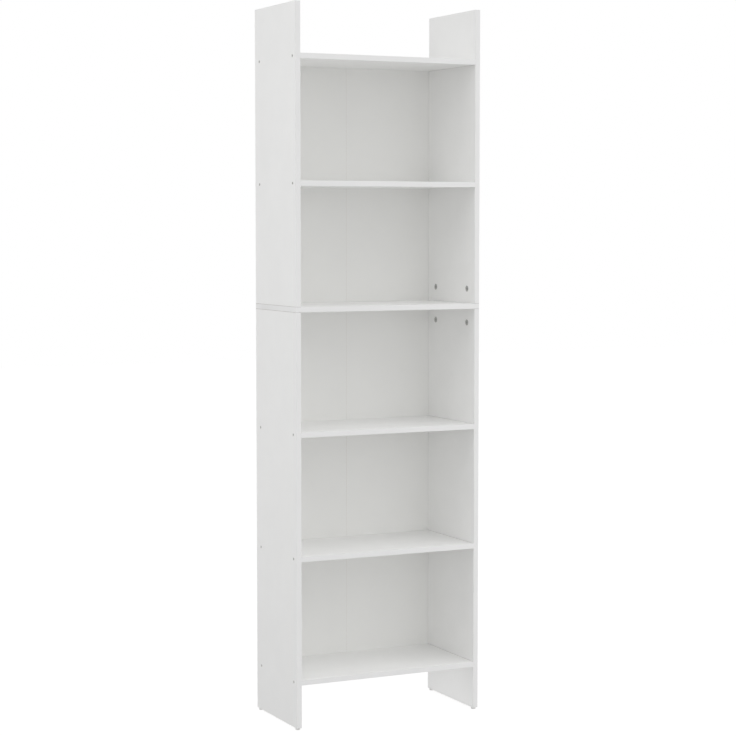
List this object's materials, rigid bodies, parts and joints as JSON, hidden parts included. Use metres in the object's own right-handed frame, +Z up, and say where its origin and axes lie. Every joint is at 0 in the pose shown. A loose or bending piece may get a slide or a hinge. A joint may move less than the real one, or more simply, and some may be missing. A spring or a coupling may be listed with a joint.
{
  "type": "open bookcase",
  "caption": "Tall narrow open bookcase in white board: fixed shelves, middle shelf running through split sides, raised ears above the top shelf, short legs and thin folded back.",
  "frame": {"origin": "on the floor, at the middle of the overall width and depth", "axes": "+X to the right seen from the front, +Y to the back, +Z up; the open front faces -Y"},
  "size_m": [0.5, 0.25, 1.755],
  "materials": {
    "white_board": "white melamine-faced chipboard, satin, with raw chipboard rear and bottom edges",
    "edge_band": "white melamine edge band, satin",
    "hardboard": "thin hardboard, white lacquered front, bare brown rear",
    "fold_tape": "matte adhesive paper tape",
    "cam_metal": "die-cast zinc, dull grey",
    "bolt_steel": "zinc-plated steel",
    "screw_steel": "zinc-plated steel",
    "nail_steel": "bright steel",
    "beech": "plain fluted beech",
    "glide_plastic": "light grey moulded plastic"
  },
  "bodies": {
    "carcass": {"lower_side_left": "white_board", "lower_side_right": "white_board", "upper_side_left": "white_board", "upper_side_right": "white_board", "bottom_shelf": "white_board", "lower_shelf": "white_board", "lower_middle_shelf": "white_board", "middle_shelf": "white_board", "upper_shelf": "white_board", "top_shelf": "white_board", "back_leaf_lower_left": "hardboard", "back_leaf_lower_right": "hardboard", "back_leaf_upper_left": "hardboard", "back_leaf_upper_right": "hardboard", "fold_tape_lower": "fold_tape", "fold_tape_upper": "fold_tape", "cam_bolt_left_front": "bolt_steel", "cam_bolt_left_rear": "bolt_steel", "cam_bolt_right_front": "bolt_steel", "cam_bolt_right_rear": "bolt_steel", "middle_shelf_dowels": "beech", "bottom_shelf_screws": "screw_steel", "lower_shelf_screws": "screw_steel", "lower_middle_shelf_screws": "screw_steel", "upper_shelf_screws": "screw_steel", "top_shelf_screws": "screw_steel", "glide_front_left": "glide_plastic", "glide_front_right": "glide_plastic", "glide_rear_left": "glide_plastic", "glide_rear_right": "glide_plastic", "glide_nails": "nail_steel", "back_nails_sides": "nail_steel", "back_nails_shelves": "nail_steel", "edge_bands_side_left": "edge_band", "edge_bands_side_right": "edge_band", "edge_bands_shelves": "edge_band", "edge_bands_middle_shelf": "edge_band"},
    "cam_upper_left_front": {"cam_upper_left_front": "cam_metal"},
    "cam_upper_left_rear": {"cam_upper_left_rear": "cam_metal"},
    "cam_upper_right_front": {"cam_upper_right_front": "cam_metal"},
    "cam_upper_right_rear": {"cam_upper_right_rear": "cam_metal"},
    "cam_lower_left_front": {"cam_lower_left_front": "cam_metal"},
    "cam_lower_left_rear": {"cam_lower_left_rear": "cam_metal"},
    "cam_lower_right_front": {"cam_lower_right_front": "cam_metal"},
    "cam_lower_right_rear": {"cam_lower_right_rear": "cam_metal"}
  },
  "joints": [
    {"name": "turn_upper_left_front", "type": "hinge", "parent": "carcass", "child": "cam_upper_left_front", "pos_m": [-0.237, -0.085, 1.065], "axis": [1, 0, 0], "range_deg": [0, 180]},
    {"name": "turn_upper_left_rear", "type": "hinge", "parent": "carcass", "child": "cam_upper_left_rear", "pos_m": [-0.237, 0.082, 1.065], "axis": [1, 0, 0], "range_deg": [0, 180]},
    {"name": "turn_upper_right_front", "type": "hinge", "parent": "carcass", "child": "cam_upper_right_front", "pos_m": [0.237, -0.085, 1.065], "axis": [-1, 0, 0], "range_deg": [0, 180]},
    {"name": "turn_upper_right_rear", "type": "hinge", "parent": "carcass", "child": "cam_upper_right_rear", "pos_m": [0.237, 0.082, 1.065], "axis": [-1, 0, 0], "range_deg": [0, 180]},
    {"name": "turn_lower_left_front", "type": "hinge", "parent": "carcass", "child": "cam_lower_left_front", "pos_m": [-0.237, -0.085, 0.98], "axis": [1, 0, 0], "range_deg": [0, 180]},
    {"name": "turn_lower_left_rear", "type": "hinge", "parent": "carcass", "child": "cam_lower_left_rear", "pos_m": [-0.237, 0.082, 0.98], "axis": [1, 0, 0], "range_deg": [0, 180]},
    {"name": "turn_lower_right_front", "type": "hinge", "parent": "carcass", "child": "cam_lower_right_front", "pos_m": [0.237, -0.085, 0.98], "axis": [-1, 0, 0], "range_deg": [0, 180]},
    {"name": "turn_lower_right_rear", "type": "hinge", "parent": "carcass", "child": "cam_lower_right_rear", "pos_m": [0.237, 0.082, 0.98], "axis": [-1, 0, 0], "range_deg": [0, 180]}
  ]
}
